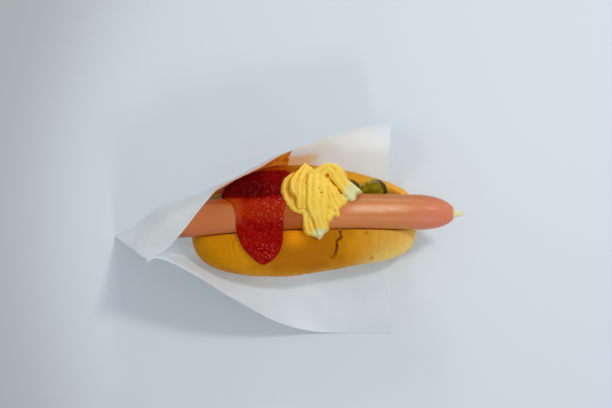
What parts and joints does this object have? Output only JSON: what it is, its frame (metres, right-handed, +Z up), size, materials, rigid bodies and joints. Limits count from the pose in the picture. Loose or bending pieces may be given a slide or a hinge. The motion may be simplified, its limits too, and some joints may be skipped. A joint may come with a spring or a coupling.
{
  "type": "hot dog",
  "caption": "Hot dog in an open white paper sleeve: slit soft bun, long sausage, ketchup, a piped swirl of mustard sauce and sliced pickle.",
  "frame": {"origin": "on the flat underside of the paper sleeve, under the middle of the bun", "axes": "+X along the sausage towards the sleeve's open end, +Y towards the back lobe of the bun, +Z up"},
  "size_m": [0.235, 0.1373, 0.0725],
  "materials": {
    "paper": "matte",
    "crust": "satin",
    "sausage_skin": "moist sheen",
    "ketchup": "wet gloss",
    "mustard_sauce": "soft sheen",
    "pickle": "wet"
  },
  "bodies": {
    "root": {"paper_sleeve": "paper", "bun": "crust", "sausage": "sausage_skin", "ketchup": "ketchup", "mustard_sauce": "mustard_sauce", "pickle_slice_1": "pickle", "pickle_slice_2": "pickle"}
  },
  "joints": []
}
